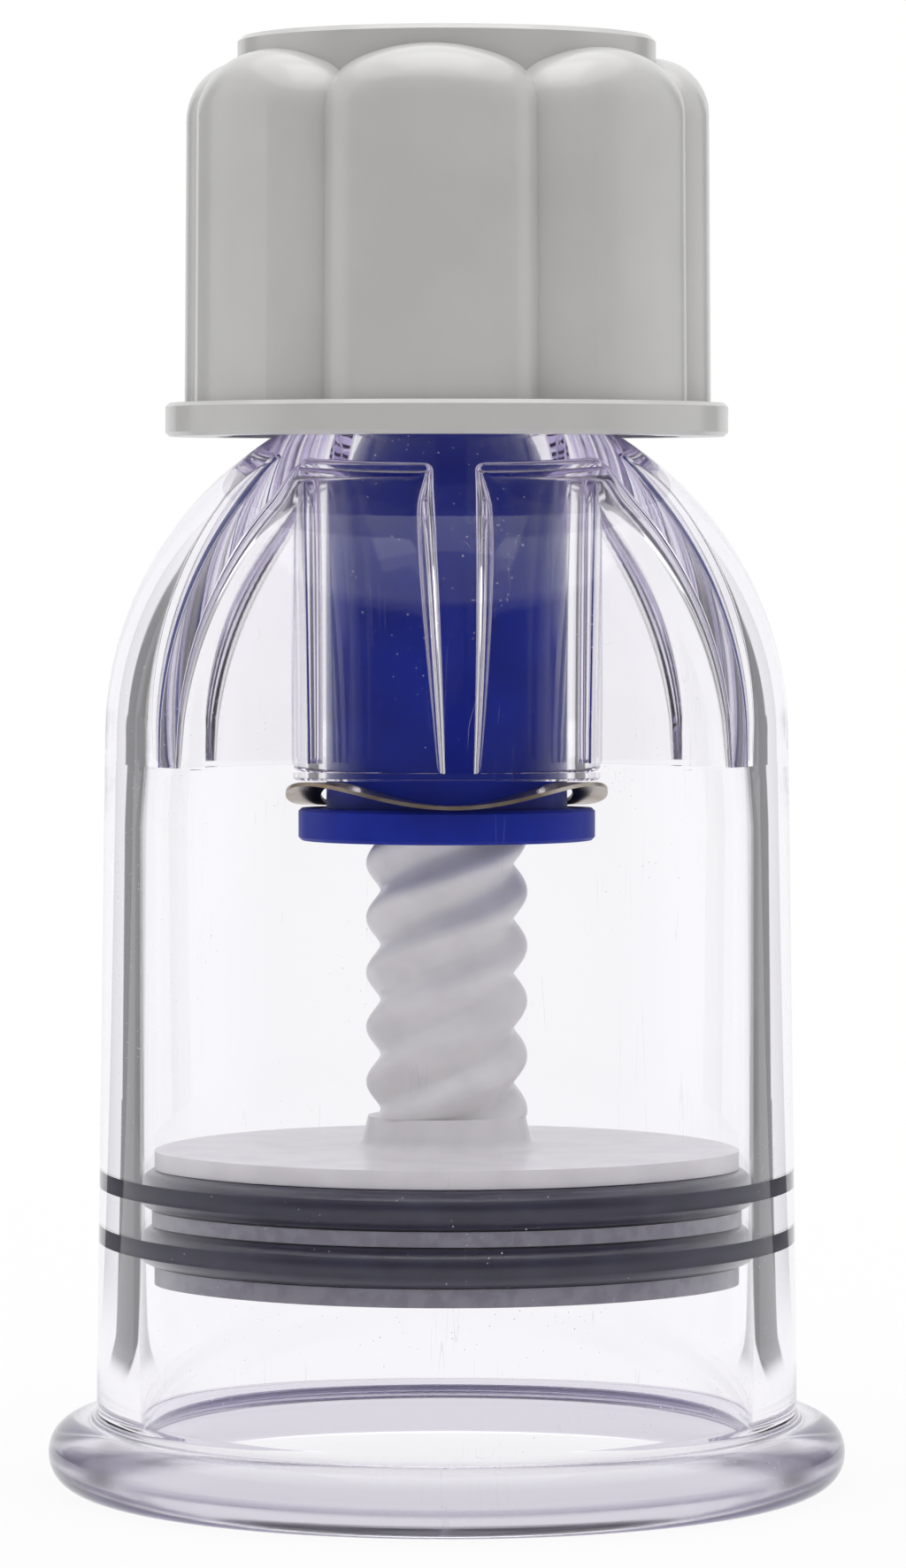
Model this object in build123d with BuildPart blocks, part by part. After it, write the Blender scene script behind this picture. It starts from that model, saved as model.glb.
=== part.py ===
from build123d import *
import os
from math import cos, pi, radians, sin, sqrt, tan

# Twist-to-draw vacuum cup for massage: a clear moulded cup, a grip knob fixed to a blue drive nut,
# and a piston on a three-start screw that the nut raises or lowers.
# Millimetres, +Z up. The origin is on the cup's axis, on the surface that its rim stands on.
# The front of the cup faces -Y. Angles in plan are counted from +X, anticlockwise from above.

front = -90.0

# ---- clear cup: bore, wall and rim ----
bore_radius = 23.05
foot_wall = 3.35  # wall above the rim
head_wall = 2.6  # wall under the dome
mouth_flare = 1.45  # the mouth opens by this much, from the bore to the lip
lip_bulge = 1.8  # from the lip to the flat land that rests on the skin
land_width = 1.2
rim_bulge = 2.5  # from the land to the rim's outer edge
rim_band = 0.15  # upright band between the two rounds of the rim
rim_root_fillet = 0.7
mouth_lead = 3.8  # the mouth narrows to the bore over this height

# ---- clear cup: dome, sleeve and ribs ----
dome_base_z = 56.3
dome_radius = 26.5
dome_wall = 2.9
sleeve_drop = 2.55  # the sleeve's end hangs this far under the dome's base
sleeve_wall = 2.4
sleeve_draft = 0.8
rib_rise = 0.75  # the ribs stop this far above the sleeve's end
rib_count = 6
rib_thickness = 1.9
rib_draft = 1.3
rib_turn = 2.3  # the front rib stands this far to the right of the front
rib_fillet = 0.8
bore_neck = 4.5  # under the ribs the bore narrows over this height
neck_radius = 12.0  # raised ring that carries the knob's hub
neck_rise = 1.12

# ---- drive nut ----
nut_body_radius = 9.05
nut_flange_width = 2.1
nut_flange_thickness = 2.6
washer_room = 2.25  # between the sleeve's end and the flange
nut_mouth_radius = 7.0
nut_mouth_depth = 3.1
nut_thread_length = 9.0
nut_chamber_radius = 6.95
nut_top_wall = 3.5
spline_count = 6
spline_depth = 0.95
spline_width = 3.0
spline_overlap = 0.7  # the splines start this far below the neck's top

# ---- three-start thread, shared by the screw and the nut ----
thread_starts = 3
thread_outer_radius = 6.07
thread_root_radius = 5.0
thread_lead = 12.27
crest_rise = 19.19  # a crest points along +X this far above the piston's top
thread_clearance = 0.12

# ---- piston and screw, one moulding ----
piston_drop = 23.0  # at rest the piston's top is this far under the nut
screw_length = 45.1
screw_tip_length = 1.5
screw_tip_radius = 4.6
collar_height = 2.4
collar_radius = 5.92
collar_foot_radius = 6.5
collar_foot_fillet = 1.0
plate_gap = 1.1  # from the bore to the top and bottom plates
land_gap = 0.9  # from the bore to the land between the rings
plate_thickness = 1.35
land_thickness = 1.1
ring_section = 2.95
ring_squeeze = 0.35  # how far the bore and the groove flatten the ring, across its section
ring_clearance = 0.05
piston_web = 2.4
piston_skirt = 2.5
piston_hub_radius = 6.2
piston_rib_count = 6
piston_rib_thickness = 1.4
core_draft = 1.0

# ---- knob ----
flange_drop = 1.7  # the flange's underside hangs this far under the neck's top
flange_thickness = 2.5
flange_overhang = 1.22  # the flange stands this far beyond the lobes
flange_chamfer = 0.3
grip_radius = 19.88
grip_height = 25.9
grip_draft = 0.45
lobe_count = 7
lobe_radius = 15.8  # of a lobe's broad outer face, seen from above
lobe_width = 16.4
lobe_corner = 5.0  # rounds the lobe down into the valleys beside it
lobe_turn = -4.0  # the front lobe's centre stands this far to the left of the front
lobe_arch_radius = 14.2  # seen from in front, each lobe ends in an arch
shoulder_fillet = 4.1
boss_radius = 15.66
boss_rise = 1.4
boss_chamfer = 0.35
knob_wall = 2.2
cavity_lobe_radius = 9.2
cavity_valley_fillet = 2.0
knob_ceiling = 4.7  # from the shoulder down to the cavity
hub_wall = 2.5
hub_crown = 6.1  # from the nut's top to the seat of the cap
hub_web_thickness = 1.6
hub_web_rise = 1.5  # the webs start this far above the hub's foot

# ---- small parts ----
running_gap = 0.1
cap_radius = 13.4
cap_thickness = 1.6
cap_spigot_depth = 0.7
washer_play = 0.4  # round the nut's body
washer_width = 2.65
washer_thickness = 0.3
washer_waves = 3
knob_screw_head_radius = 3.7
knob_screw_head_height = 2.3
knob_screw_radius = 1.9
knob_screw_length = 5.8
stop_washer_radius = 6.5
stop_washer_thickness = 1.0
stop_screw_head_radius = 2.9
stop_screw_head_height = 1.9
stop_screw_radius = 1.45
stop_screw_length = 8.0
stop_hole_spare = 0.5  # the hole in the screw's end is this much deeper than its fastener
hole_gap = 0.05
head_gap = 0.4


def arc_height(radius, at):
    """Height over the dome's centre of its arc of this radius, at a distance from the axis."""
    return dome_base_z + sqrt(radius**2 - (at - dome_centre) ** 2)


# ---- the cup's radii and heights, from the sizes above ----
foot_radius = bore_radius + foot_wall
head_radius = bore_radius + head_wall
lip_radius = bore_radius + mouth_flare
land_inner = lip_radius + lip_bulge
land_outer = land_inner + land_width
rim_radius = land_outer + rim_bulge
rim_height = 2 * rim_bulge + rim_band
bore_start_z = lip_bulge + mouth_lead
dome_centre = head_radius - dome_radius
cavity_radius = dome_radius - dome_wall
cavity_side = dome_centre + cavity_radius
sleeve_bore = nut_body_radius + running_gap
sleeve_outer = sleeve_bore + sleeve_wall
sleeve_bottom_z = dome_base_z - sleeve_drop
rib_bottom_z = sleeve_bottom_z + rib_rise
bore_end_z = rib_bottom_z - bore_neck
rib_angle = front + rib_turn
neck_foot_z = arc_height(dome_radius, neck_radius)
neck_top_z = neck_foot_z + neck_rise

# ---- the knob's heights ----
hub_bottom_z = neck_top_z + running_gap
flange_bottom_z = neck_top_z - flange_drop
flange_top_z = flange_bottom_z + flange_thickness
shoulder_z = flange_top_z + grip_height
knob_top_z = shoulder_z + boss_rise
cap_seat_z = knob_top_z - cap_thickness
cavity_top_z = shoulder_z - knob_ceiling
lobe_angle = front + lobe_turn
valley_angle = lobe_angle + 180 / lobe_count
lobe_offset = grip_radius - lobe_radius
cavity_lobe_offset = grip_radius - knob_wall - cavity_lobe_radius

# ---- the nut's and the washer's heights ----
nut_flange_radius = nut_body_radius + nut_flange_width
washer_inner_radius = nut_body_radius + washer_play
washer_outer_radius = washer_inner_radius + washer_width
nut_flange_top_z = sleeve_bottom_z - washer_room
nut_bottom_z = nut_flange_top_z - nut_flange_thickness
nut_thread_start_z = nut_bottom_z + nut_mouth_depth
nut_thread_end_z = nut_thread_start_z + nut_thread_length
spline_start_z = neck_top_z - spline_overlap
spline_root_radius = nut_body_radius - spline_depth
nut_top_z = cap_seat_z - hub_crown

# ---- the piston's heights at rest ----
piston_top_z = nut_bottom_z - piston_drop
screw_base_z = piston_top_z + collar_height
screw_top_z = piston_top_z + screw_length
screw_thread_end_z = screw_top_z - screw_tip_length
crest_z = piston_top_z + crest_rise
thread_mean = (thread_outer_radius + thread_root_radius) / 2
thread_depth = (thread_outer_radius - thread_root_radius) / 2
ring_radial = ring_section - ring_squeeze
groove_radius = bore_radius - ring_clearance - ring_radial - ring_clearance
groove_width = ring_section + 2 * ring_clearance
ring_radius = groove_radius + ring_clearance + ring_radial / 2
plate_radius = bore_radius - plate_gap
land_radius = bore_radius - land_gap
upper_groove_z = piston_top_z - plate_thickness - groove_width / 2
lower_groove_z = upper_groove_z - groove_width - land_thickness
piston_bottom_z = lower_groove_z - groove_width / 2 - plate_thickness


def screw_phase(z):
    """Turn of the thread's cross-section at a height."""
    return 360 * (z - crest_z) / thread_lead


def thread_section(z, clearance):
    """Three rounded lobes: what a level cut through the thread shows."""
    with BuildSketch(Plane.XY.offset(z)) as section:
        with BuildLine():
            steps = 8 * thread_starts
            points = []
            for step in range(steps):
                angle = 2 * pi * step / steps
                reach = thread_mean + clearance + thread_depth * cos(thread_starts * angle)
                turn = angle + radians(screw_phase(z))
                points.append((reach * cos(turn), reach * sin(turn)))
            Spline(*points, periodic=True)
        make_face()
    return section.sketch.face()


def thread_body(bottom_z, top_z, clearance):
    """The lobed section drawn up and turned right-handed, one turn in each lead."""
    height = top_z - bottom_z
    section = thread_section(bottom_z, clearance)
    angle = 360 * height / thread_lead
    return Solid.extrude_linear_with_rotation(section, (0, 0, bottom_z), (0, 0, height), angle)


# ---- clear cup ----
# The spaces between the ribs, which the mould's core fills.
with BuildPart() as pockets:
    with BuildSketch(Plane.XZ.rotated((0, 0, rib_angle))) as pocket_section:
        with BuildLine():
            lean = (arc_height(cavity_radius, sleeve_outer) - rib_bottom_z) * tan(radians(sleeve_draft))
            sleeve_head = sleeve_outer + lean
            start = (cavity_side, dome_base_z)
            finish = (sleeve_head, arc_height(cavity_radius, sleeve_head))
            RadiusArc(finish, start, cavity_radius)
            Polyline(start, (cavity_side, rib_bottom_z), (sleeve_outer, rib_bottom_z), finish)
        make_face()
    revolve(axis=Axis.Z)
    with BuildSketch(Plane.XY.offset(rib_bottom_z)):
        with PolarLocations((bore_radius + sleeve_bore) / 2, rib_count, start_angle=rib_angle):
            Rectangle(bore_radius - sleeve_bore, rib_thickness)
    extrude(amount=dome_radius, taper=-rib_draft, mode=Mode.SUBTRACT)
    inner_edges = pockets.edges().filter_by(lambda e: e.center().Z > rib_bottom_z + rib_fillet)
    fillet(inner_edges, radius=rib_fillet)

with BuildPart() as barrel:
    with BuildSketch(Plane.XZ):
        with BuildLine():
            Line((land_inner, 0), (land_outer, 0))
            CenterArc((land_outer, rim_bulge), rim_bulge, 270, 90)
            Line((rim_radius, rim_bulge), (rim_radius, rim_bulge + rim_band))
            CenterArc((land_outer, rim_bulge + rim_band), rim_bulge, 0, 90)
            dome_end = (neck_radius, neck_foot_z)
            Polyline((land_outer, rim_height), (foot_radius, rim_height), (head_radius, dome_base_z))
            RadiusArc(dome_end, (head_radius, dome_base_z), dome_radius)
            Polyline(
                dome_end,
                (neck_radius, neck_top_z),
                (sleeve_bore, neck_top_z),
                (sleeve_bore, sleeve_bottom_z),
                (sleeve_outer, sleeve_bottom_z),
                (sleeve_outer, rib_bottom_z),
                (cavity_side, rib_bottom_z),
                (bore_radius, bore_end_z),
                (bore_radius, bore_start_z),
                (lip_radius, lip_bulge),
            )
            CenterArc((land_inner, lip_bulge), lip_bulge, 180, 90)
        make_face()
    revolve(axis=Axis.Z)
    add(pockets.part, mode=Mode.SUBTRACT)
    rim_root = barrel.edges().filter_by(GeomType.CIRCLE).filter_by(
        lambda e: abs(e.radius - foot_radius) < 0.01 and abs(e.center().Z - rim_height) < 0.01
    )
    fillet(rim_root, radius=rim_root_fillet)

# ---- drive nut ----
with BuildPart() as drive_nut:
    with BuildSketch(Plane.XY.offset(nut_bottom_z)):
        Circle(nut_flange_radius)
    extrude(amount=nut_flange_thickness)
    chamfer(drive_nut.edges().filter_by(GeomType.CIRCLE), length=0.25)
    with BuildSketch(Plane.XY.offset(nut_bottom_z)):
        Circle(nut_body_radius)
    extrude(amount=spline_start_z - nut_bottom_z)
    with BuildSketch(Plane.XY.offset(spline_start_z)):
        Circle(spline_root_radius)
        with PolarLocations(spline_root_radius, spline_count, start_angle=front):
            Rectangle(2 * spline_depth, spline_width)
        Circle(nut_body_radius, mode=Mode.INTERSECT)
    extrude(amount=nut_top_z - spline_start_z)
    with BuildSketch(Plane.XY.offset(nut_thread_end_z)):
        Circle(nut_chamber_radius)
    extrude(amount=nut_top_z - nut_top_wall - nut_thread_end_z, mode=Mode.SUBTRACT)
    with BuildSketch(Plane.XY.offset(nut_bottom_z)):
        Circle(nut_mouth_radius)
    extrude(amount=nut_mouth_depth, mode=Mode.SUBTRACT)
    with BuildSketch(Plane.XY.offset(nut_top_z)):
        Circle(knob_screw_radius + hole_gap)
    extrude(amount=-nut_top_wall, mode=Mode.SUBTRACT)
    add(thread_body(nut_thread_start_z, nut_thread_end_z, thread_clearance), mode=Mode.SUBTRACT)

# ---- piston and screw ----
with BuildPart() as piston_screw:
    with BuildSketch(Plane.XZ):
        with BuildLine():
            Polyline(
                (0, screw_base_z),
                (collar_radius, screw_base_z),
                (collar_foot_radius, piston_top_z),
                (plate_radius, piston_top_z),
                (plate_radius, piston_top_z - plate_thickness),
                (groove_radius, piston_top_z - plate_thickness),
                (groove_radius, upper_groove_z - groove_width / 2),
                (land_radius, upper_groove_z - groove_width / 2),
                (land_radius, lower_groove_z + groove_width / 2),
                (groove_radius, lower_groove_z + groove_width / 2),
                (groove_radius, piston_bottom_z + plate_thickness),
                (plate_radius, piston_bottom_z + plate_thickness),
                (plate_radius, piston_bottom_z),
                (0, piston_bottom_z),
                (0, screw_base_z),
            )
        make_face()
    revolve(axis=Axis.Z)
    collar_foot = piston_screw.edges().filter_by(GeomType.CIRCLE).filter_by(
        lambda e: abs(e.radius - collar_foot_radius) < 0.01 and abs(e.center().Z - piston_top_z) < 0.01
    )
    fillet(collar_foot, radius=collar_foot_fillet)
    # The underside is cored out, and leaves a skirt, a hub and radial ribs.
    with BuildSketch(Plane.XY.offset(piston_bottom_z)):
        Circle(groove_radius - piston_skirt)
        Circle(piston_hub_radius, mode=Mode.SUBTRACT)
        with PolarLocations(groove_radius / 2, piston_rib_count, start_angle=front):
            Rectangle(groove_radius, piston_rib_thickness, mode=Mode.SUBTRACT)
    extrude(amount=piston_top_z - piston_web - piston_bottom_z, taper=core_draft, mode=Mode.SUBTRACT)
    add(thread_body(screw_base_z, screw_thread_end_z, 0))
    with BuildSketch(Plane.XY.offset(screw_thread_end_z)):
        Circle(screw_tip_radius)
    extrude(amount=screw_top_z - screw_thread_end_z)
    with BuildSketch(Plane.XY.offset(screw_top_z)):
        Circle(stop_screw_radius + hole_gap)
    extrude(amount=stop_washer_thickness - stop_screw_length - stop_hole_spare, mode=Mode.SUBTRACT)


def sealing_ring(z):
    """A rubber ring in its groove, flattened where it bears on the groove and on the bore."""
    with BuildPart() as ring:
        with BuildSketch(Plane.XZ):
            with Locations((ring_radius, z)):
                Circle(ring_section / 2)
                Rectangle(ring_radial, ring_section, mode=Mode.INTERSECT)
        revolve(axis=Axis.Z)
    return ring.part


# ---- knob ----
# One lobe, out along +X: an upright post that ends in an arch, rounded over all round.
with BuildPart() as grip_lobe:
    with BuildSketch(Plane.XY.offset(flange_top_z)) as grip_lobe_outline:
        with Locations((lobe_offset, 0)):
            Circle(lobe_radius)
        with Locations((grip_radius + boss_radius / 2, 0)):  # the boss hides the lobe's inner end
            Rectangle(2 * grip_radius, lobe_width, mode=Mode.INTERSECT)
        fillet(grip_lobe_outline.vertices().group_by(Axis.X)[-1], lobe_corner)
    extrude(amount=grip_height, taper=grip_draft)
    arch_foot_z = shoulder_z - lobe_arch_radius
    with BuildSketch(Plane.YZ):
        with Locations((0, arch_foot_z)):
            Circle(lobe_arch_radius)
        with Locations((0, (flange_top_z + arch_foot_z) / 2)):
            Rectangle(2 * lobe_arch_radius, arch_foot_z - flange_top_z)
    extrude(amount=2 * grip_radius, both=True, mode=Mode.INTERSECT)
    arch_edges = grip_lobe.faces().filter_by(lambda f: f.center().Z > shoulder_z - 3)[0].edges()
    fillet(arch_edges.filter_by(lambda e: e.center().X > boss_radius / 2 + 1), radius=shoulder_fillet)

with BuildPart() as knob:
    with BuildSketch(Plane.XY.offset(flange_bottom_z)):
        Circle(grip_radius + flange_overhang)
    extrude(amount=flange_thickness)
    chamfer(knob.edges().filter_by(GeomType.CIRCLE).sort_by(SortBy.RADIUS)[-2:], length=flange_chamfer)
    with BuildSketch(Plane.XY.offset(flange_top_z)):
        Circle(boss_radius)
    extrude(amount=knob_top_z - flange_top_z)
    chamfer(knob.faces().sort_by(Axis.Z)[-1].edges(), length=boss_chamfer)
    with PolarLocations(0, lobe_count, start_angle=lobe_angle):
        add(grip_lobe.part)
    # Moulded hollow from below, with a wall that follows the lobes.
    with BuildSketch(Plane.XY.offset(flange_bottom_z)) as cavity_outline:
        with PolarLocations(cavity_lobe_offset, lobe_count, start_angle=lobe_angle):
            Circle(cavity_lobe_radius)
        fillet(cavity_outline.vertices(), cavity_valley_fillet)
    extrude(amount=cavity_top_z - flange_bottom_z, taper=grip_draft, mode=Mode.SUBTRACT)
    with BuildSketch(Plane.XY.offset(hub_bottom_z)):
        Circle(nut_body_radius + hub_wall)
    extrude(amount=cap_seat_z - hub_bottom_z)
    # Webs tie the hub to the wall's valleys. Each starts inside the hub and ends inside the wall.
    with BuildSketch(Plane.XY.offset(hub_bottom_z + hub_web_rise)):
        web_start = nut_body_radius + hub_wall / 2
        web_end = grip_radius - 1.3 * knob_wall
        with PolarLocations((web_start + web_end) / 2, lobe_count, start_angle=valley_angle):
            Rectangle(web_end - web_start, hub_web_thickness)
    extrude(amount=cavity_top_z - hub_bottom_z - hub_web_rise)
    with BuildSketch(Plane.XY.offset(hub_bottom_z)):
        Circle(spline_root_radius + running_gap)
        with PolarLocations(spline_root_radius, spline_count, start_angle=front):
            Rectangle(2 * (spline_depth + running_gap), spline_width + 2 * running_gap)
        Circle(nut_body_radius + running_gap, mode=Mode.INTERSECT)
    extrude(amount=nut_top_z - hub_bottom_z, mode=Mode.SUBTRACT)
    with BuildSketch(Plane.XY.offset(cap_seat_z)):
        Circle(cap_radius + running_gap)
    extrude(amount=cap_thickness, mode=Mode.SUBTRACT)
    with Locations((0, 0, cap_seat_z)):
        CounterBoreHole(
            radius=knob_screw_radius + running_gap,
            counter_bore_radius=knob_screw_head_radius + head_gap,
            counter_bore_depth=cap_spigot_depth + knob_screw_head_height + head_gap,
            depth=hub_crown,
        )

with BuildPart() as knob_cap:
    with BuildSketch(Plane.XY.offset(cap_seat_z)):
        Circle(cap_radius)
    extrude(amount=cap_thickness)
    chamfer(knob_cap.faces().sort_by(Axis.Z)[-1].edges(), length=boss_chamfer)
    with BuildSketch(Plane.XY.offset(cap_seat_z)):
        Circle(knob_screw_head_radius + head_gap - running_gap)
    extrude(amount=-cap_spigot_depth)


def pan_screw(seat_z, head_radius_, head_height, shank_radius, length):
    """A cross-recess self-tapping screw, head up, with its thread left plain."""
    with BuildPart() as pan:
        with BuildSketch(Plane.XY.offset(seat_z)):
            Circle(head_radius_)
        extrude(amount=head_height)
        chamfer(pan.faces().sort_by(Axis.Z)[-1].edges(), length=head_height / 3)
        with BuildSketch(Plane.XY.offset(seat_z + head_height)):
            Rectangle(head_radius_, head_radius_ / 4)
            Rectangle(head_radius_ / 4, head_radius_)
        extrude(amount=-head_height / 2, mode=Mode.SUBTRACT)
        with BuildSketch(Plane.XY.offset(seat_z)):
            Circle(shank_radius)
        extrude(amount=-length)
        chamfer(pan.faces().sort_by(Axis.Z)[0].edges(), length=shank_radius / 2)
    return pan.part


knob_screw_seat_z = cap_seat_z - cap_spigot_depth - knob_screw_head_height - head_gap
knob_screw = pan_screw(
    knob_screw_seat_z, knob_screw_head_radius, knob_screw_head_height, knob_screw_radius, knob_screw_length
)

with BuildPart() as stop_washer:
    with BuildSketch(Plane.XY.offset(screw_top_z)):
        Circle(stop_washer_radius)
        Circle(stop_screw_radius + hole_gap, mode=Mode.SUBTRACT)
    extrude(amount=stop_washer_thickness)

stop_screw = pan_screw(
    screw_top_z + stop_washer_thickness,
    stop_screw_head_radius,
    stop_screw_head_height,
    stop_screw_radius,
    stop_screw_length,
)

# ---- wave washer, between the sleeve and the nut's flange ----
washer_play = sleeve_bottom_z - nut_flange_top_z - washer_thickness - 2 * running_gap
washer_low_z = nut_flange_top_z + running_gap


def wave_edge(radius):
    """A closed wave at one radius; one of its low points is under the front rib."""
    steps = 8 * washer_waves
    points = []
    for step in range(steps):
        angle = 2 * pi * step / steps
        rise = (1 - cos(washer_waves * (angle - radians(rib_angle)))) / 2
        points.append((radius * cos(angle), radius * sin(angle), washer_low_z + washer_play * rise))
    with BuildLine() as wave:
        Spline(*points, periodic=True)
    return wave.edge()


with BuildPart() as wave_washer:
    waved_sheet = Face.make_surface_from_curves(
        wave_edge(washer_inner_radius), wave_edge(washer_outer_radius)
    )
    extrude(waved_sheet, amount=washer_thickness, dir=(0, 0, 1))

# ---- write the pieces ----
pieces = {
    "barrel": barrel.part,
    "drive_nut": drive_nut.part,
    "wave_washer": wave_washer.part,
    "knob": knob.part,
    "knob_cap": knob_cap.part,
    "knob_screw": knob_screw,
    "piston_screw": piston_screw.part,
    "upper_ring": sealing_ring(upper_groove_z),
    "lower_ring": sealing_ring(lower_groove_z),
    "stop_washer": stop_washer.part,
    "stop_screw": stop_screw,
}
os.makedirs("parts", exist_ok=True)
for name, piece in pieces.items():
    piece.label = name
    export_step(piece, f"parts/{name}.step")
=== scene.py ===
import bmesh
import bpy
from math import acos, asin, atan2, cos, degrees, pi, radians, sin, sqrt
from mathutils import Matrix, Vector


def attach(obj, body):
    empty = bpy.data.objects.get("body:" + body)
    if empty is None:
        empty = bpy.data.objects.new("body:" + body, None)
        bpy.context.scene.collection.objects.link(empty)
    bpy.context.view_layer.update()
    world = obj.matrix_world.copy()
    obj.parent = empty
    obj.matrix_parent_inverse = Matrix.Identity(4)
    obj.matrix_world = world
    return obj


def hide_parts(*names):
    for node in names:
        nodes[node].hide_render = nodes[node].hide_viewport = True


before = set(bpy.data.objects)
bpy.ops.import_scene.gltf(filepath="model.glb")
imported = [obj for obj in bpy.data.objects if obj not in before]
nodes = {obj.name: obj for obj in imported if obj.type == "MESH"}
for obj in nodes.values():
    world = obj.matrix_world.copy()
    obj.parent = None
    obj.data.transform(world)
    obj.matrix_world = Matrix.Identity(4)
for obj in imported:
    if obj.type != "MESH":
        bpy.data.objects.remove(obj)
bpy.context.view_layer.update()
mm = 0.001
fineEnough = 0.001 * mm  # points nearer than this are one point


# Material helpers

def linear(hexColour):
    parts = [int(hexColour[i:i + 2], 16) / 255 for i in (1, 3, 5)]
    return tuple(p / 12.92 if p <= 0.04045 else ((p + 0.055) / 1.055) ** 2.4 for p in parts) + (1,)


def addNode(tree, kind, settings={}, links={}):
    node = tree.nodes.new(kind)
    for key, value in settings.items():
        if isinstance(key, str) and hasattr(node, key):
            setattr(node, key, value)
        else:
            node.inputs[key].default_value = value
    for socket, source in links.items():
        tree.links.new(source, node.inputs[socket])
    return node


def maths(tree, operation, first, second):  # either may be a number or a socket
    settings, links = {"operation": operation}, {}
    for i, value in enumerate((first, second)):
        (settings if isinstance(value, (int, float)) else links)[i] = value
    return addNode(tree, "ShaderNodeMath", settings, links).outputs[0]


def fadeBetween(tree, value, low, high, atLow, atHigh):  # atHigh may be a socket
    fade = addNode(tree, "ShaderNodeMapRange", {
        "From Min": low, "From Max": high, "To Min": atLow, "interpolation_type": "SMOOTHSTEP"}, {"Value": value})
    if isinstance(atHigh, (int, float)):
        fade.inputs["To Max"].default_value = atHigh
    else:
        tree.links.new(atHigh, fade.inputs["To Max"])
    return fade.outputs["Result"]


def newMaterial(name, shader):
    material = bpy.data.materials.new(name)
    material.use_nodes = True
    tree = material.node_tree
    tree.nodes.clear()
    principled = addNode(tree, "ShaderNodeBsdfPrincipled", shader)
    output = addNode(tree, "ShaderNodeOutputMaterial", {}, {"Surface": principled.outputs["BSDF"]})
    place = addNode(tree, "ShaderNodeTexCoord")
    return material, tree, principled, output, place.outputs["Object"]


def rampStops(ramp, stops):  # stops are (position, colour), lowest first
    line = ramp.color_ramp
    while len(line.elements) < len(stops):
        line.elements.new(1)
    for element, (position, colour) in zip(line.elements, stops):
        element.position = position
        element.color = colour
    return ramp


def mottled(tree, place, across, detail, stops):  # a cloudy change of colour, across in millimetres
    cloud = addNode(tree, "ShaderNodeTexNoise", {"Scale": 1000 / across, "Detail": detail}, {"Vector": place})
    return rampStops(addNode(tree, "ShaderNodeValToRGB", {}, {"Fac": cloud.outputs["Fac"]}), stops).outputs["Color"]


# Modelling helpers, all through the operators

def edit():
    bpy.ops.object.mode_set(mode="EDIT")


def done():
    bpy.ops.object.mode_set(mode="OBJECT")


def startProfile(name, r, z):  # one point, ready to be drawn on from
    bpy.ops.object.select_all(action="DESELECT")
    bpy.ops.mesh.primitive_plane_add(size=mm, location=(r * mm, 0, z * mm))
    piece = bpy.context.object
    piece.name = name
    piece.data.name = name
    edit()
    bpy.ops.mesh.select_all(action="SELECT")
    bpy.ops.mesh.merge(type="CENTER")
    piece["penR"], piece["penZ"] = r, z
    return piece


def lineTo(piece, r, z):
    step = ((r - piece["penR"]) * mm, 0, (z - piece["penZ"]) * mm)
    bpy.ops.mesh.extrude_region_move(TRANSFORM_OT_translate={"value": step})
    piece["penR"], piece["penZ"] = r, z


def arcTo(piece, centre, sweep, steps):  # sweep in degrees, turning from +r towards +z
    r, z = piece["penR"] - centre[0], piece["penZ"] - centre[1]
    bpy.ops.mesh.spin(
        steps=steps, angle=radians(abs(sweep)), center=(centre[0] * mm, 0, centre[1] * mm),
        axis=(0, 1 if sweep > 0 else -1, 0),
    )
    turn = radians(sweep)
    piece["penR"] = centre[0] + r * cos(turn) - z * sin(turn)
    piece["penZ"] = centre[1] + r * sin(turn) + z * cos(turn)


def closeProfile(piece, r, z):
    lineTo(piece, r, z)
    bpy.ops.mesh.select_all(action="SELECT")
    bpy.ops.mesh.remove_doubles(threshold=fineEnough)


def turnRound(steps):
    bpy.ops.mesh.select_all(action="SELECT")
    bpy.ops.mesh.spin(steps=steps, angle=radians(360), center=(0, 0, 0), axis=(0, 0, -1))
    bpy.ops.mesh.select_all(action="SELECT")
    bpy.ops.mesh.remove_doubles(threshold=fineEnough)
    bpy.ops.mesh.normals_make_consistent(inside=False)


def select(piece):
    bpy.ops.object.select_all(action="DESELECT")
    piece.select_set(True)
    bpy.context.view_layer.objects.active = piece


def settle(piece, smoothUnder=30):  # place into the mesh, then shading
    select(piece)
    bpy.ops.object.transform_apply(location=True, rotation=True, scale=True)
    bpy.ops.object.shade_smooth_by_angle(angle=radians(smoothUnder), keep_sharp_edges=True)
    for key in ("penR", "penZ"):
        if key in piece:
            del piece[key]


def cut(piece, tool):
    select(piece)
    modifier = piece.modifiers.new("cut", "BOOLEAN")
    modifier.operation = "DIFFERENCE"
    modifier.solver = "EXACT"
    modifier.object = tool
    bpy.ops.object.modifier_apply(modifier=modifier.name)
    bpy.data.objects.remove(tool)


def wear(piece, material):
    piece.data.materials.clear()
    piece.data.materials.append(material)


# Camera, at a seated person's eye, a little above the cup

camera = bpy.data.objects.new("camera", bpy.data.cameras.new("camera"))
bpy.context.scene.collection.objects.link(camera)
bpy.context.scene.camera = camera
camera.data.lens = 151.7
camera.data.sensor_width = 36
camera.data.clip_start = 0.02
camera.data.clip_end = 20
eye, target = Vector((0.47, -496.6, 73.5)) * mm, Vector((0.47, 0, 52.8)) * mm
camera.location = eye
camera.rotation_euler = (target - eye).to_track_quat("-Z", "Y").to_euler()
print("camera set")


# Clear cup: injection-moulded polycarbonate

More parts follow.
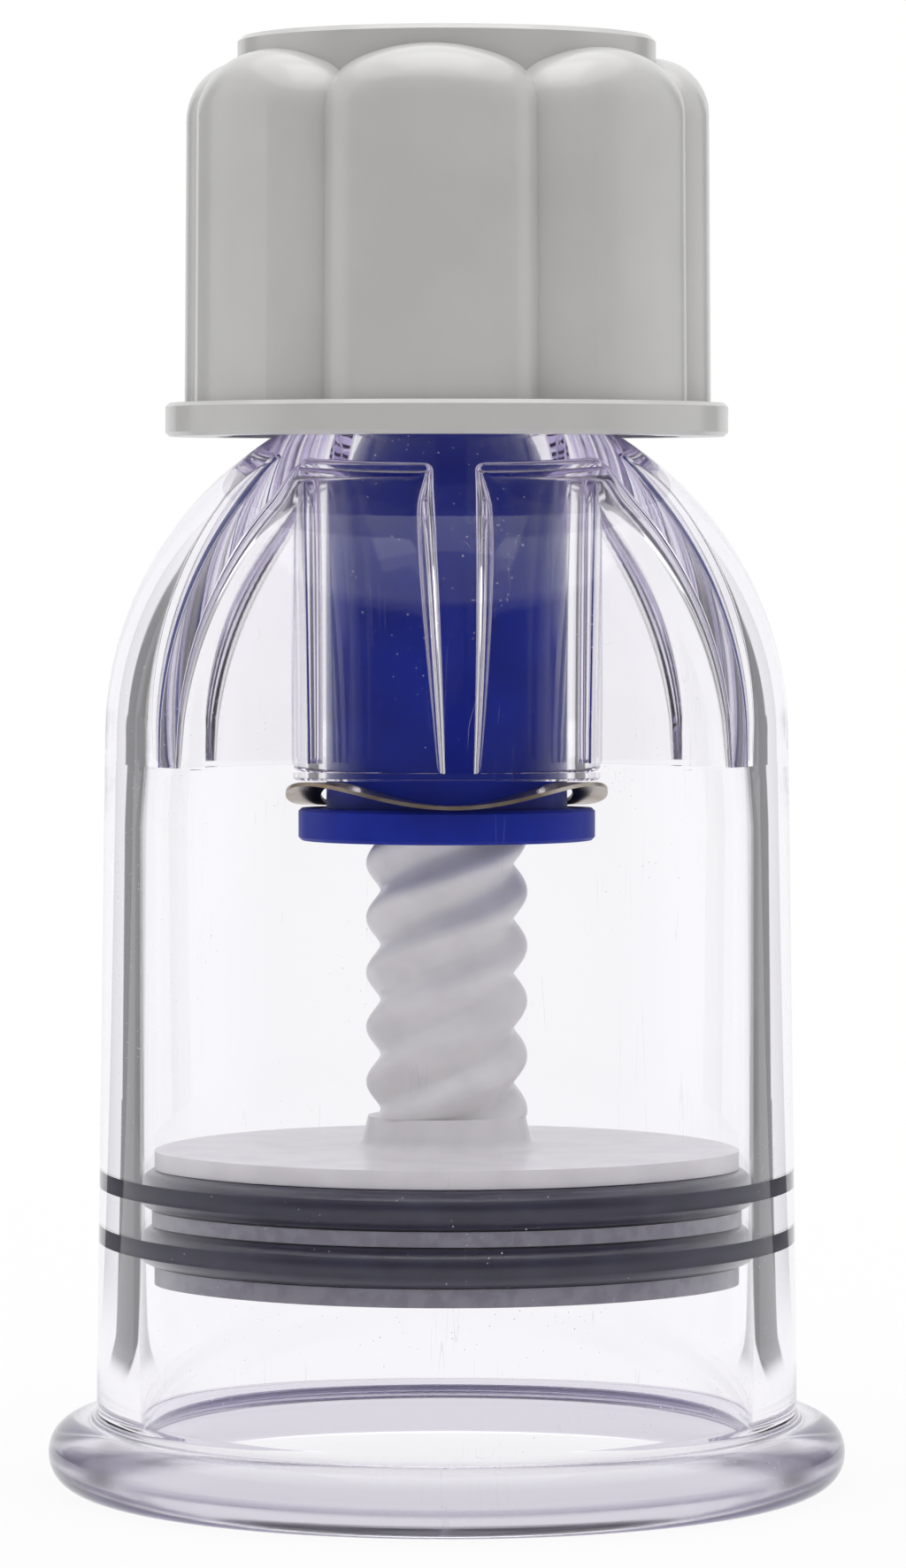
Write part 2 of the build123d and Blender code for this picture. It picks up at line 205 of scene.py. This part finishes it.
clearCup = {
    "landInner": 26.3, "landOuter": 27.5, "rimRound": 2.5, "rimHeight": 5.15,
    "footRadius": 26.4, "footRound": 0.7, "headRadius": 25.65,
    "domeBase": 56.3, "domeRadius": 26.5, "domeWall": 2.9,
    "neckRadius": 12.0, "neckTop": 80.6, "edgeRound": 0.15,
    "sleeveBore": 9.15, "sleeveOuter": 11.55, "sleeveBottom": 53.75, "sleeveDraft": 0.8,
    "ribCount": 6, "ribThick": 1.9, "ribDraft": 1.3, "ribBottom": 54.5, "ribTurn": 2.3,
    "ribRoundLow": 0.5, "ribRoundHigh": 2.0, "sleeveRound": 0.4, "tipRound": 0.7,
    "bore": 23.05, "boreTop": 50.0, "lip": 24.5, "lipRound": 1.8, "boreStart": 5.6,
    "roundSteps": 240,
}


def buildCup(s):
    centre = (s["headRadius"] - s["domeRadius"], s["domeBase"])
    cavity = s["domeRadius"] - s["domeWall"]
    side = centre[0] + cavity
    rimSide, e = s["landOuter"] + s["rimRound"], s["edgeRound"]
    cup = startProfile("clearCup", s["landInner"], 0)
    lineTo(cup, s["landOuter"], 0)
    arcTo(cup, (s["landOuter"], s["rimRound"]), 90, 12)
    lineTo(cup, rimSide, s["rimHeight"] - s["rimRound"])
    arcTo(cup, (s["landOuter"], s["rimHeight"] - s["rimRound"]), 90, 12)
    lineTo(cup, s["footRadius"] + s["footRound"], s["rimHeight"])
    arcTo(cup, (s["footRadius"] + s["footRound"], s["rimHeight"] + s["footRound"]), -90, 6)
    for i in range(1, 9):  # the wall, in a few steps so that it lies smoothly into the dome
        share = i / 8
        z = s["rimHeight"] + s["footRound"]
        lineTo(cup, s["footRadius"] + (s["headRadius"] - s["footRadius"]) * share, z + (s["domeBase"] - z) * share)
    arcTo(cup, centre, degrees(acos((s["neckRadius"] - centre[0]) / s["domeRadius"])), 36)
    lineTo(cup, s["neckRadius"], s["neckTop"] - e)
    lineTo(cup, s["neckRadius"] - e, s["neckTop"])
    lineTo(cup, s["sleeveBore"] + e, s["neckTop"])
    lineTo(cup, s["sleeveBore"], s["neckTop"] - e)
    lineTo(cup, s["sleeveBore"], s["sleeveBottom"] + e)
    lineTo(cup, s["sleeveBore"] + e, s["sleeveBottom"])
    lineTo(cup, s["sleeveOuter"] - e, s["sleeveBottom"])
    lineTo(cup, s["sleeveOuter"], s["sleeveBottom"] + e)
    lineTo(cup, s["sleeveOuter"], s["ribBottom"])
    lineTo(cup, side, s["ribBottom"])
    lineTo(cup, s["bore"], s["boreTop"])
    lineTo(cup, s["bore"], s["boreStart"])
    flare, rise = s["lip"] - s["bore"], s["boreStart"] - s["lipRound"]
    for i in range(1, 11):  # the mouth opens in a slow S
        share = i / 10
        lineTo(cup, s["bore"] + flare * (3 * share**2 - 2 * share**3), s["boreStart"] - rise * share)
    arcTo(cup, (s["landInner"], s["lipRound"]), 90, 10)
    closeProfile(cup, s["landInner"], 0)
    turnRound(s["roundSteps"])
    done()
    settle(cup)
    for i in range(s["ribCount"]):
        cut(cup, buildPocket(s, centre, cavity, side, -90 + s["ribTurn"] + (i + 0.5) * 360 / s["ribCount"]))
    settle(cup, 25)
    return cup


def pocketRing(s, z, sleeve, wall, tip):  # level cut through the mould core's finger, from +x anticlockwise
    half = pi / s["ribCount"]
    rise = max(0, z - tip["z"])
    shrink = s["tipRound"] - sqrt(max(0, s["tipRound"] ** 2 - rise**2))
    face = s["ribThick"] / 2 + max(0, z - s["ribBottom"]) * sin(radians(s["ribDraft"])) + shrink
    share = min(1, max(0, (z - s["ribBottom"]) / (tip["z"] - s["ribBottom"])))
    outer = min(s["ribRoundLow"] + (s["ribRoundHigh"] - s["ribRoundLow"]) * share, (wall - sleeve) * 0.48)
    inner = min(s["sleeveRound"], (wall - sleeve) * 0.48)
    upper = []

    def sweep(centreRadius, centreTurn, radius, first, last, steps):
        for i in range(steps + 1):
            turn = first + (last - first) * i / steps
            upper.append((centreRadius * cos(centreTurn) + radius * cos(turn),
                          centreRadius * sin(centreTurn) + radius * sin(turn)))

    outerTurn = half - asin((face + outer) / (wall - outer))
    innerTurn = half - asin((face + inner) / (sleeve + inner))
    sweep(0, 0, wall, 0, outerTurn, 18)
    sweep(wall - outer, outerTurn, outer, outerTurn + 0.1, half + pi / 2, 7)
    sweep(sleeve + inner, innerTurn, inner, half + pi / 2, innerTurn + pi - 0.1, 5)
    sweep(0, 0, sleeve, innerTurn, 0, 12)
    lower = [(x, -y) for x, y in upper[-2:0:-1]]
    return [(x * mm, y * mm, z * mm) for x, y in upper + lower]


def buildPocket(s, centre, cavity, side, towards):  # lofted, since its corner rounds widen upwards
    skin, below, tipRound = 0.05, 0.5, s["tipRound"]
    slope = sin(radians(s["sleeveDraft"]))
    tipR = s["sleeveOuter"] + skin + 19 * slope + tipRound
    tip = {"r": tipR, "z": centre[1] + sqrt((cavity - tipRound) ** 2 - (tipR - centre[0]) ** 2)}
    levels = [s["ribBottom"] - below, s["ribBottom"] - below / 2]
    levels += [s["ribBottom"] + (tip["z"] - s["ribBottom"]) * i / 30 for i in range(31)]
    levels += [tip["z"] + tipRound * sin(radians(a)) for a in (12, 24, 36, 48, 59, 69, 78, 85, 89)]
    core = bmesh.new()
    rings = []
    for z in levels:
        sleeve = s["sleeveOuter"] + skin + max(0, z - s["ribBottom"]) * slope
        wall = side - skin
        if z > s["domeBase"]:
            wall = min(wall, centre[0] + sqrt(cavity**2 - (z - centre[1]) ** 2))
        if z > tip["z"]:
            reach = sqrt(tipRound**2 - (z - tip["z"]) ** 2)
            sleeve, wall = tip["r"] - reach, min(wall, tip["r"] + reach)
        rings.append([core.verts.new(p) for p in pocketRing(s, z, sleeve, wall, tip)])
    for low, high in zip(rings, rings[1:]):
        for i in range(len(low)):
            core.faces.new((low[i - 1], low[i], high[i], high[i - 1]))
    core.faces.new(rings[0][::-1])
    core.faces.new(rings[-1])
    mesh = bpy.data.meshes.new("pocket")
    core.to_mesh(mesh)
    core.free()
    pocket = bpy.data.objects.new("pocket", mesh)
    bpy.context.scene.collection.objects.link(pocket)
    pocket.rotation_euler.z = radians(towards)
    select(pocket)
    edit()
    bpy.ops.mesh.select_all(action="SELECT")
    bpy.ops.mesh.remove_doubles(threshold=fineEnough)
    bpy.ops.mesh.normals_make_consistent(inside=False)
    done()
    settle(pocket)
    return pocket


cup = buildCup(clearCup)
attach(cup, "cup")
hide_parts("barrel")
print("clear cup modelled,", len(cup.data.polygons), "faces")


# Piston rings: moulded nitrile rubber

sealRings = {
    "upper": 23.025, "lower": 18.875, "section": 2.95, "boreSide": 23.07, "grooveSide": 20.4,
    "roundSteps": 200,
}


def buildSeal(s, name, z):
    radius = s["section"] / 2
    middle = (s["boreSide"] + s["grooveSide"]) / 2
    half = (s["boreSide"] - s["grooveSide"]) / 2
    flat = sqrt(radius**2 - half**2)
    flatTurn = degrees(atan2(flat, half))
    ring = startProfile(name, s["boreSide"], z + flat)
    arcTo(ring, (middle, z), 180 - 2 * flatTurn, 18)
    lineTo(ring, s["grooveSide"], z - flat)
    arcTo(ring, (middle, z), 180 - 2 * flatTurn, 18)
    closeProfile(ring, s["boreSide"], z + flat)
    turnRound(s["roundSteps"])
    done()
    settle(ring, 40)
    return ring


seals = []
for level, name, node in (("upper", "upperSeal", "upper_ring"), ("lower", "lowerSeal", "lower_ring")):
    seal = buildSeal(sealRings, name, sealRings[level])
    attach(seal, "plunger")
    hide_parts(node)
    seals.append(seal)
print("seals modelled")


# Materials

# Polycarbonate, moulded clear: greyish lilac where it is looked at lengthways, hairlines and specks of dust on
# its skin, and a rim that the mould left a little dull, with fine turning marks round it.
clearSettings = {
    "depth": "#E2DCEF", "depthPerMetre": 34.0,
    "dust": "#F2F1F4", "speckSpacing": 0.5, "speckLargest": 0.085, "dustPatch": 14.0,
    "hairSpacing": 2.2, "hairStretch": 0.03, "hairShare": 0.16, "hairWidth": 0.0022, "hairPatch": 7.0,
    "rimTop": 5.0, "rimRough": 0.14, "rimTint": "#E2E0E6", "turningPitch": 0.22,
    "coreRadius": 21.6, "coreRough": 0.04, "veil": (0.22, 0.22, 0.23, 1.0), "speckShare": 0.8,
    "softTint": "#FAF9FC", "softShare": 0.92,  # the share of soft light that passes straight in, and its tint
}


def clearPolycarbonate(s):
    material, tree, skin, output, place = newMaterial("mouldedClearPolycarbonate", {
        "Base Color": (1, 1, 1, 1), "IOR": 1.585, "Transmission Weight": 1.0,
        "Specular Tint": s["veil"],
    })
    parts = addNode(tree, "ShaderNodeSeparateXYZ", {}, {"Vector": place}).outputs
    atRim = fadeBetween(tree, parts["Z"], (s["rimTop"] - 1.2) * mm, s["rimTop"] * mm, 1.0, 0.0)
    cells = addNode(tree, "ShaderNodeTexVoronoi", {"Scale": 1000 / s["speckSpacing"]}, {"Vector": place})
    size = addNode(tree, "ShaderNodeSeparateColor", {}, {"Color": cells.outputs["Color"]}).outputs
    cloud = addNode(tree, "ShaderNodeTexNoise", {"Scale": 1000 / s["dustPatch"], "Detail": 2}, {"Vector": place})
    few = fadeBetween(tree, cloud.outputs["Fac"], 0.42, 0.64, 0.93, 0.3)  # dust lies in drifts
    radius = maths(
        tree, "MULTIPLY", maths(tree, "SUBTRACT", size["Red"], few), s["speckLargest"] / s["speckSpacing"])
    speck = maths(tree, "LESS_THAN", cells.outputs["Distance"], radius)
    upright = addNode(tree, "ShaderNodeVectorMath", {
        "operation": "MULTIPLY", 1: (1, 1, s["hairStretch"])}, {0: place})
    strands = addNode(tree, "ShaderNodeTexNoise", {
        "Scale": 1000 / s["hairSpacing"], "Detail": 1}, {"Vector": upright.outputs["Vector"]})
    offLine = maths(tree, "ABSOLUTE", maths(tree, "SUBTRACT", strands.outputs["Fac"], 0.52), 0)
    line = maths(tree, "LESS_THAN", offLine, s["hairWidth"])
    where = addNode(tree, "ShaderNodeTexNoise", {"Scale": 1000 / s["hairPatch"], "Detail": 2}, {"Vector": place})
    hairline = maths(tree, "MULTIPLY", line, fadeBetween(tree, where.outputs["Fac"], 0.58, 0.66, 0.0, s["hairShare"]))
    share = maths(tree, "MAXIMUM", maths(tree, "MULTIPLY", speck, s["speckShare"]), hairline)
    level = addNode(tree, "ShaderNodeCombineXYZ", {}, {"X": parts["X"], "Y": parts["Y"]}).outputs["Vector"]
    across = addNode(tree, "ShaderNodeVectorMath", {"operation": "LENGTH"}, {0: level}).outputs["Value"]
    within = fadeBetween(tree, across, s["coreRadius"] * mm, (s["coreRadius"] + 0.6) * mm, s["coreRough"], 0.0)
    dulled = maths(tree, "MULTIPLY", atRim, s["rimRough"])
    tree.links.new(maths(tree, "ADD", within, dulled), skin.inputs["Roughness"])
    tint = rampStops(addNode(tree, "ShaderNodeValToRGB", {}, {"Fac": atRim}), [
        (0.0, (1, 1, 1, 1)), (1.0, linear(s["rimTint"]))])
    tree.links.new(tint.outputs["Color"], skin.inputs["Base Color"])
    rings = addNode(tree, "ShaderNodeTexNoise", {"Scale": 1000 / s["turningPitch"], "Detail": 2}, {
        "Vector": addNode(tree, "ShaderNodeCombineXYZ", {}, {"X": across, "Y": parts["Z"]}).outputs["Vector"]})
    marks = addNode(tree, "ShaderNodeBump", {"Strength": 0.25, "Distance": 0.02 * mm}, {
        "Height": maths(tree, "MULTIPLY", rings.outputs["Fac"], atRim)})
    tree.links.new(marks.outputs["Normal"], skin.inputs["Normal"])
    dust = addNode(tree, "ShaderNodeBsdfDiffuse", {"Color": linear(s["dust"])})
    solid = addNode(tree, "ShaderNodeMixShader", {}, {
        0: share, 1: skin.outputs["BSDF"], 2: dust.outputs["BSDF"]})
    path = addNode(tree, "ShaderNodeLightPath").outputs
    softLight = maths(tree, "MAXIMUM", path["Is Shadow Ray"], path["Is Diffuse Ray"])
    letIn = addNode(tree, "ShaderNodeBsdfTransparent", {"Color": linear(s["softTint"])})
    both = addNode(tree, "ShaderNodeMixShader", {}, {  # soft light comes through to what stands inside
        0: maths(tree, "MULTIPLY", softLight, s["softShare"]), 1: solid.outputs["Shader"], 2: letIn.outputs["BSDF"]})
    tree.links.new(both.outputs["Shader"], output.inputs["Surface"])
    depth = addNode(tree, "ShaderNodeVolumeAbsorption", {"Color": linear(s["depth"]), "Density": s["depthPerMetre"]})
    tree.links.new(depth.outputs["Volume"], output.inputs["Volume"])
    return material


# ABS, injection moulded and left as it came from a polished mould: satin white, a little grey.
whiteSettings = {"light": "#C8C7C6", "dark": "#C2C1C0", "mottle": 9.0, "grain": 0.35}


def whiteAbs(s):
    material, tree, skin, output, place = newMaterial("mouldedWhiteAbs", {
        "Roughness": 0.32, "IOR": 1.54, "Coat Weight": 0.4, "Coat Roughness": 0.12,
    })
    colour = mottled(tree, place, s["mottle"], 3, [(0.35, linear(s["dark"])), (0.65, linear(s["light"]))])
    tree.links.new(colour, skin.inputs["Base Color"])
    fine = addNode(tree, "ShaderNodeTexNoise", {"Scale": 1000 / s["grain"], "Detail": 2}, {"Vector": place})
    bump = addNode(tree, "ShaderNodeBump", {"Strength": 0.05, "Distance": 0.02 * mm}, {"Height": fine.outputs["Fac"]})
    tree.links.new(bump.outputs["Normal"], skin.inputs["Normal"])
    return material


# Nylon, dyed through and moulded: deep royal blue with a dull, slightly waxy face.
blueSettings = {"light": "#0F2CA6", "dark": "#092292", "mottle": 4.0}


def blueNylon(s):
    material, tree, skin, output, place = newMaterial("mouldedBlueNylon", {
        "Roughness": 0.45, "IOR": 1.53, "Specular IOR Level": 0.2,
    })
    colour = mottled(tree, place, s["mottle"], 4, [(0.3, linear(s["dark"])), (0.7, linear(s["light"]))])
    tree.links.new(colour, skin.inputs["Base Color"])
    return material


# Acetal, natural: milky white that light enters a little, with smears of silicone grease, and below the upper ring a
# darker band that is partly grease and partly painted shade.
acetalSettings = {
    "clean": "#F4F3F0", "greased": "#ECEBE9", "smear": 3.0,
    # the colour and top of the darker band below the upper ring: partly grease, partly painted shade
    "greaseAndShadeColour": "#8F8D97", "greaseAndShadeTop": 22.4, "greaseAndShadePatch": 1.2,
}


def naturalAcetal(s):
    material, tree, skin, output, place = newMaterial("mouldedNaturalAcetal", {
        "Roughness": 0.3, "IOR": 1.48, "Subsurface Weight": 0.25,
        "Subsurface Radius": (1.2, 1.1, 1.0), "Subsurface Scale": 0.6 * mm,
    })
    colour = mottled(tree, place, s["smear"], 5, [(0.4, linear(s["clean"])), (0.62, linear(s["greased"]))])
    height = addNode(tree, "ShaderNodeSeparateXYZ", {}, {"Vector": place}).outputs["Z"]
    dabs = addNode(tree, "ShaderNodeTexNoise", {"Scale": 1000 / s["greaseAndShadePatch"], "Detail": 4}, {"Vector": place})
    # darker below the upper ring: partly grease smears, partly painted shade between and below the rings
    low = fadeBetween(tree, height, (s["greaseAndShadeTop"] - 0.3) * mm, s["greaseAndShadeTop"] * mm, 1.0, 0.0)
    greaseAndShadeShare = maths(tree, "MULTIPLY", low, fadeBetween(tree, dabs.outputs["Fac"], 0.4, 0.6, 1.0, 0.9))
    greaseAndShadeMix = addNode(tree, "ShaderNodeMix", {"data_type": "RGBA", 7: linear(s["greaseAndShadeColour"])}, {
        0: greaseAndShadeShare, 6: colour})  # the sockets are the share, the first colour and the second
    tree.links.new(greaseAndShadeMix.outputs[2], skin.inputs["Base Color"])
    return material


# Nitrile rubber, moulded: blue-black, matt, but wet-looking where it is greased.
rubberSettings = {"plain": "#1D1B33", "worn": "#2A2841", "patch": 2.5}


def blackRubber(s):
    material, tree, skin, output, place = newMaterial("mouldedNitrileRubber", {
        "Roughness": 0.3, "IOR": 1.52, "Specular IOR Level": 0.6,
    })
    colour = mottled(tree, place, s["patch"], 4, [(0.4, linear(s["plain"])), (0.65, linear(s["worn"]))])
    tree.links.new(colour, skin.inputs["Base Color"])
    return material


# Spring steel strip, rolled and tempered: straw-brown oil film over bright metal.
springSettings = {"bright": "#B9B2A8", "straw": "#8A7660", "patch": 3.0}


def springSteel(s):
    material, tree, skin, output, place = newMaterial("rolledSpringSteel", {
        "Metallic": 1.0, "Roughness": 0.28,
    })
    colour = mottled(tree, place, s["patch"], 3, [(0.35, linear(s["bright"])), (0.7, linear(s["straw"]))])
    tree.links.new(colour, skin.inputs["Base Color"])
    return material


# Zinc plate on steel, barrel plated: cool grey, softly bright, cloudy where it was passivated.
zincSettings = {"bright": "#C3C7CB", "cloud": "#A4A9B0", "patch": 1.5}


def zincPlate(s):
    material, tree, skin, output, place = newMaterial("platedZincSteel", {
        "Metallic": 1.0, "Roughness": 0.33,
    })
    colour = mottled(tree, place, s["patch"], 3, [(0.4, linear(s["bright"])), (0.65, linear(s["cloud"]))])
    tree.links.new(colour, skin.inputs["Base Color"])
    return material


clear, white, blue = clearPolycarbonate(clearSettings), whiteAbs(whiteSettings), blueNylon(blueSettings)
acetal, rubber = naturalAcetal(acetalSettings), blackRubber(rubberSettings)
spring, zinc = springSteel(springSettings), zincPlate(zincSettings)
wear(cup, clear)
for piece in seals:
    wear(piece, rubber)
for name, material in (
    ("barrel", clear), ("upper_ring", rubber), ("lower_ring", rubber), ("knob", white), ("knob_cap", white),
    ("drive_nut", blue), ("piston_screw", acetal), ("wave_washer", spring), ("knob_screw", zinc),
    ("stop_screw", zinc), ("stop_washer", zinc),
):
    wear(nodes[name], material)
print("materials made")


# Floor, world and lamps

studio = {
    "floorSize": 3.0, "floorWhite": "#F6F6F6", "shadowShare": 0.12, "fadeFrom": 0.06, "fadeTo": 0.35,
    "fillFront": 0.36, "fillBack": 0.52, "fillTop": 1.0,  # what the room gives to matt surfaces
    "cardGrey": 0.2, "cardAngles": (48, 132), "cardHalf": 8.0, "cardSoft": 2.0,
    "cardLow": -12.0, "cardHigh": 8.0, "cardFade": 30.0, "cardFrom": 0.08, "cardTo": 0.2,
    "sideGrey": 0.82, "sideHalf": 42.0,
    "roomDark": 0.06, "roomThrough": 0.2, "roomHalf": 62.0, "roomSoft": 24.0,  # the unlit room on the camera's side
    "roomTop": 46.0, "overhead": 2.0,
    "roomFrom": 0.3, "roomTo": 0.6, "fillHalf": 18.0, "fillSoft": 36.0,
}

bpy.ops.object.select_all(action="DESELECT")
bpy.ops.mesh.primitive_plane_add(size=studio["floorSize"], location=(0, 0, -0.02 * mm))
floor = bpy.context.object
floor.name = "floor"


def sector(tree, direction, bearing, half, soft):  # 1 within half degrees of a bearing, 0 outside
    parts = addNode(tree, "ShaderNodeSeparateXYZ", {}, {"Vector": direction})
    east, north = cos(radians(bearing)), sin(radians(bearing))
    ahead = maths(tree, "ADD", maths(tree, "MULTIPLY", parts.outputs["X"], east),
                  maths(tree, "MULTIPLY", parts.outputs["Y"], north))
    across = maths(tree, "SUBTRACT", maths(tree, "MULTIPLY", parts.outputs["Y"], east),
                   maths(tree, "MULTIPLY", parts.outputs["X"], north))
    off = maths(tree, "ABSOLUTE", maths(tree, "ARCTAN2", across, ahead), 0)
    return fadeBetween(tree, off, radians(half), radians(half + soft), 1.0, 0.0)


def roomLevel(tree, s, path):  # a little lighter by way of the cup than on a face that looks straight at it
    return maths(tree, "ADD", s["roomDark"], maths(
        tree, "MULTIPLY", path["Is Transmission Ray"], s["roomThrough"] - s["roomDark"]))


def paperFloor(s):
    material, tree, skin, output, place = newMaterial("whitePaperFloor", {
        "Base Color": linear(s["floorWhite"]), "Roughness": 0.9, "Specular IOR Level": 0.1})
    path = addNode(tree, "ShaderNodeLightPath").outputs
    through = maths(tree, "MAXIMUM", path["Is Glossy Ray"], path["Is Transmission Ray"])
    away = addNode(tree, "ShaderNodeVectorMath", {"operation": "LENGTH"}, {0: place}).outputs["Value"]
    lit = fadeBetween(tree, away, s["fadeFrom"], s["fadeTo"], 1 - s["shadowShare"], 1.0)
    share = maths(tree, "MULTIPLY", maths(tree, "MAXIMUM", path["Is Camera Ray"], through), lit)
    far = fadeBetween(tree, away, s["roomFrom"], s["roomTo"], 0.0, 1.0)
    unlit = maths(tree, "MULTIPLY", sector(tree, place, -90, s["roomHalf"], s["roomSoft"]), far)
    room = maths(tree, "MULTIPLY", unlit, through)
    level = fadeBetween(tree, room, 0.0, 1.0, 1.0, roomLevel(tree, s, path))
    left, right = [sector(tree, place, angle, s["cardHalf"], s["cardSoft"]) for angle in s["cardAngles"]]
    beside = maths(tree, "MULTIPLY", fadeBetween(tree, away, s["cardFrom"], s["cardTo"], 0.0, 1.0), through)
    shade = maths(tree, "MULTIPLY", maths(tree, "MAXIMUM", left, right), beside)
    level = maths(tree, "MULTIPLY", level, fadeBetween(tree, shade, 0.0, 1.0, 1.0, s["cardGrey"]))
    bright = addNode(tree, "ShaderNodeEmission", {"Color": (1, 1, 1, 1)}, {"Strength": level})
    both = addNode(tree, "ShaderNodeMixShader", {}, {
        0: share, 1: skin.outputs["BSDF"], 2: bright.outputs["Emission"]})
    tree.links.new(both.outputs["Shader"], output.inputs["Surface"])
    return material


wear(floor, paperFloor(studio))


def studioWorld(s):
    world = bpy.data.worlds.new("studio")
    world.use_nodes = True
    tree = world.node_tree
    tree.nodes.clear()
    towards = addNode(tree, "ShaderNodeTexCoord").outputs["Generated"]
    height = addNode(tree, "ShaderNodeSeparateXYZ", {}, {"Vector": towards}).outputs["Z"]
    climb = maths(tree, "ARCSINE", height, 0)
    low = fadeBetween(tree, climb, radians(s["cardLow"] - 4), radians(s["cardLow"]), 0.0, 1.0)
    high = fadeBetween(tree, climb, radians(s["cardHigh"]), radians(s["cardHigh"] + s["cardFade"]), 1.0, 0.0)
    left, right = [sector(tree, towards, angle, s["cardHalf"], s["cardSoft"]) for angle in s["cardAngles"]]
    cards = maths(tree, "MULTIPLY", maths(tree, "MAXIMUM", left, right), maths(tree, "MULTIPLY", low, high))
    under = fadeBetween(tree, climb, radians(s["roomTop"] - 3), radians(s["roomTop"] + 1), 1.0, 0.0)
    room = maths(tree, "MULTIPLY", sector(tree, towards, -90, s["roomHalf"], s["roomSoft"]), under)
    behind = sector(tree, towards, 90, s["sideHalf"], 6)
    sides = maths(tree, "MAXIMUM", behind, maths(tree, "SUBTRACT", 1.0, under))
    aside = fadeBetween(tree, sides, 0.0, 1.0, s["sideGrey"], 1.0)
    above = fadeBetween(tree, under, 0.0, 1.0, s["overhead"], 1.0)
    grey = fadeBetween(tree, cards, 0.0, 1.0, 1.0, s["cardGrey"])
    path = addNode(tree, "ShaderNodeLightPath").outputs
    dark = fadeBetween(tree, room, 0.0, 1.0, 1.0, roomLevel(tree, s, path))
    through = maths(tree, "MAXIMUM", path["Is Glossy Ray"], path["Is Transmission Ray"])
    seen = maths(tree, "MULTIPLY", maths(tree, "MULTIPLY", through, above), maths(
        tree, "MULTIPLY", maths(tree, "MULTIPLY", grey, aside), dark))
    wide = sector(tree, towards, 90, s["fillHalf"], s["fillSoft"])
    raised = fadeBetween(tree, climb, radians(10), radians(s["roomTop"]), 0.0, 1.0)
    level = fadeBetween(tree, wide, 0.0, 1.0, s["fillFront"], s["fillBack"])
    fill = maths(tree, "MAXIMUM", level, maths(tree, "MULTIPLY", raised, s["fillTop"]))
    rest = maths(tree, "MULTIPLY", maths(tree, "SUBTRACT", 1.0, through), fill)
    strength = maths(tree, "MAXIMUM", maths(tree, "ADD", seen, rest), path["Is Camera Ray"])
    sky = addNode(tree, "ShaderNodeBackground", {"Color": (1, 1, 1, 1)}, {"Strength": strength})
    addNode(tree, "ShaderNodeOutputWorld", {}, {"Surface": sky.outputs["Background"]})
    return world


bpy.context.scene.world = studioWorld(studio)

softLamps = [
    {"name": "leftSoftbox", "at": (-520, 120, 150), "size": 420, "power": 0.06},
    {"name": "rightSoftbox", "at": (520, 120, 150), "size": 420, "power": 0.1},
    {"name": "topSoftbox", "at": (0, -60, 560), "size": 380, "power": 0.8},
]
for s in softLamps:
    lamp = bpy.data.objects.new(s["name"], bpy.data.lights.new(s["name"], "AREA"))
    lamp.data.energy = s["power"]
    lamp.data.size = s["size"] * mm
    lamp.location = Vector(s["at"]) * mm
    lamp.rotation_euler = (Vector((0, 0, 55 * mm)) - lamp.location).to_track_quat("-Z", "Y").to_euler()
    bpy.context.scene.collection.objects.link(lamp)
print("studio lit")

bpy.context.scene.view_settings.view_transform = "Standard"
cycles = bpy.context.scene.cycles  # light turns many times inside the ribs
cycles.max_bounces, cycles.glossy_bounces, cycles.transmission_bounces = 32, 24, 24
